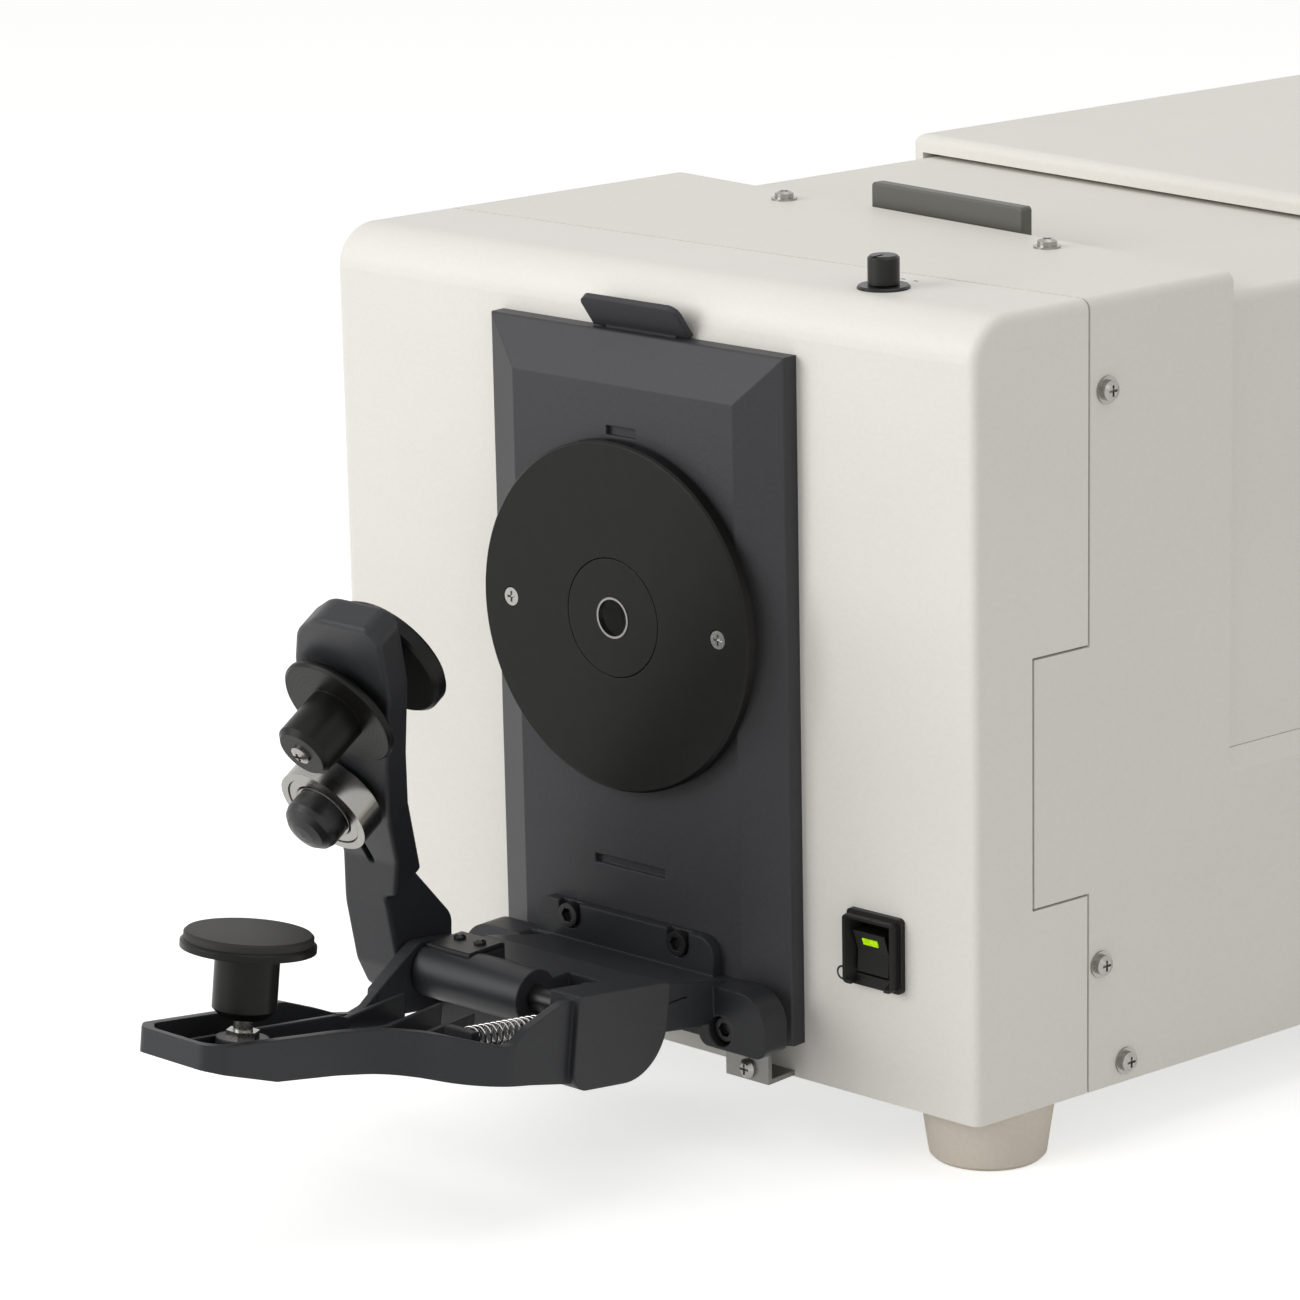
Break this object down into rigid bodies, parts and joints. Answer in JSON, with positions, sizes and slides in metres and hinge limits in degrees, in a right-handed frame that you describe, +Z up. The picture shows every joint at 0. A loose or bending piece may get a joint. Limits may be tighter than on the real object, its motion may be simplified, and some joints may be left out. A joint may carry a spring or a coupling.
{
  "type": "color spectrophotometer",
  "caption": "Bench color spectrophotometer with a round sample port, a swing-up sample clamp and arm, a sliding chamber lid, a power switch and rubber feet.",
  "frame": {"origin": "on the floor, under the middle of the bounding box with the clamp open", "axes": "+Z up, the sample port faces -Y, +X is to the right when facing the port"},
  "size_m": [0.2768, 0.6932, 0.2843],
  "materials": {
    "cover_paint": "fine textured off-white paint",
    "front_plastic": "satin off-white",
    "handle_plastic": "satin charcoal",
    "plate_paint": "grained dark grey",
    "mask_black": "satin black",
    "clamp_paint": "satin charcoal",
    "black_plastic": "half-gloss black",
    "pad_rubber": "matt black rubber",
    "black_steel": "blackened steel",
    "nickel": "nickel plated",
    "bearing_steel": "ground and polished",
    "foot_rubber": "beige rubber",
    "lamp_green": "lit green lens",
    "chassis": "plain sheet",
    "chamber_black": "matt black",
    "optics_black": "black anodised",
    "sphere_white": "white scattering coat",
    "grating_glass": "ruled and coated",
    "board": "green circuit board",
    "supply": "boxed unit"
  },
  "bodies": {
    "instrument": {"base_plate": "chassis", "front_shell": "front_plastic", "main_cover": "cover_paint", "rear_cover": "cover_paint", "rear_panel": "chassis", "feet": "foot_rubber", "cover_screws": "nickel", "chamber_front_wall": "chamber_black", "chamber_rear_wall": "chamber_black", "chamber_floor": "chamber_black", "target_plate": "plate_paint", "mask_disc": "mask_black", "mask_ring": "mask_black", "aperture_rim": "nickel", "mask_screws": "nickel", "holder_bracket": "clamp_paint", "bracket_screws": "black_steel", "strap_plate": "black_steel", "strap_screws": "black_steel", "lower_tabs": "nickel", "tab_screws": "nickel", "hinge_shaft": "nickel", "switch_bezel": "black_plastic", "knob_flange": "black_plastic", "selector_switch": "black_plastic", "sphere_front": "sphere_white", "sphere_rear": "sphere_white", "sphere_stand": "chassis", "lamp_housing": "optics_black", "lens_barrel": "optics_black", "spectrometer_box": "optics_black", "grating": "grating_glass", "detector_board": "board", "main_board": "board", "power_supply": "supply", "fan_frame": "black_plastic", "power_inlet": "black_plastic", "data_port": "nickel"},
    "lever": {"lever": "clamp_paint", "clamp_spring": "nickel", "pad_stud": "nickel", "pad_nut": "nickel"},
    "lever_pad": {"lever_pad": "black_plastic", "lever_pad_face": "pad_rubber"},
    "arm": {"swing_arm": "clamp_paint", "arm_outer_knob": "black_plastic", "arm_knob_screw": "nickel", "bearing_inner_ring": "bearing_steel", "bearing_balls": "bearing_steel", "bearing_cap": "black_plastic"},
    "arm_pad": {"arm_inner_pad": "black_plastic"},
    "bearing": {"bearing_outer_ring": "bearing_steel"},
    "rocker": {"rocker": "black_plastic", "rocker_lamp": "lamp_green"},
    "selector": {"selector_knob": "black_plastic"},
    "lid": {"chamber_lid": "cover_paint", "lid_handle": "handle_plastic"},
    "tab": {"release_tab": "plate_paint"},
    "fan": {"fan_rotor": "black_plastic"}
  },
  "joints": [
    {"name": "lever_swing", "type": "hinge", "parent": "instrument", "child": "lever", "pos_m": [0.01398, -0.20597, 0.056], "axis": [-0.9903, -0.1392, 0], "range_deg": [0, 66], "deforming": ["clamp_spring"]},
    {"name": "arm_swing", "type": "hinge", "parent": "instrument", "child": "arm", "pos_m": [0.01398, -0.20597, 0.056], "axis": [-0.9903, -0.1392, 0], "range_deg": [0, 43.2]},
    {"name": "pad_align", "type": "hinge", "parent": "arm", "child": "arm_pad", "pos_m": [0.01503, -0.25655, 0.16572], "axis": [0.9903, 0.1392, 0], "range_deg": [0, 11.7]},
    {"name": "pad_height", "type": "slide", "parent": "lever", "child": "lever_pad", "axis": [-0.0194, 0.1378, 0.9903], "range_m": [-0.003, 0.004]},
    {"name": "bearing_spin", "type": "hinge", "parent": "arm", "child": "bearing", "pos_m": [-0.01311, -0.25031, 0.12054], "axis": [0.1187, -0.8443, -0.5225], "continuous": true},
    {"name": "rocker_tilt", "type": "hinge", "parent": "instrument", "child": "rocker", "pos_m": [0.09625, -0.1217, 0.0698], "axis": [-0.9903, -0.1392, 0], "range_deg": [0, 16]},
    {"name": "selector_turn", "type": "hinge", "parent": "instrument", "child": "selector", "pos_m": [0.07747, -0.10011, 0.274], "axis": [0, 0, 1], "range_deg": [0, 90]},
    {"name": "lid_slide", "type": "slide", "parent": "instrument", "child": "lid", "axis": [0, 1, 0], "range_m": [0, 0.095]},
    {"name": "tab_lift", "type": "slide", "parent": "instrument", "child": "tab", "axis": [0, 0, 1], "range_m": [0, 0.004]},
    {"name": "fan_spin", "type": "hinge", "parent": "instrument", "child": "fan", "pos_m": [-0.092, 0.33672, 0.19], "axis": [0, 1, 0], "continuous": true}
  ],
  "couplings": [
    {"joint": "arm_swing", "follows": "lever_swing", "ratio": 0.65455},
    {"joint": "pad_align", "follows": "lever_swing", "ratio": 0.17727}
  ]
}
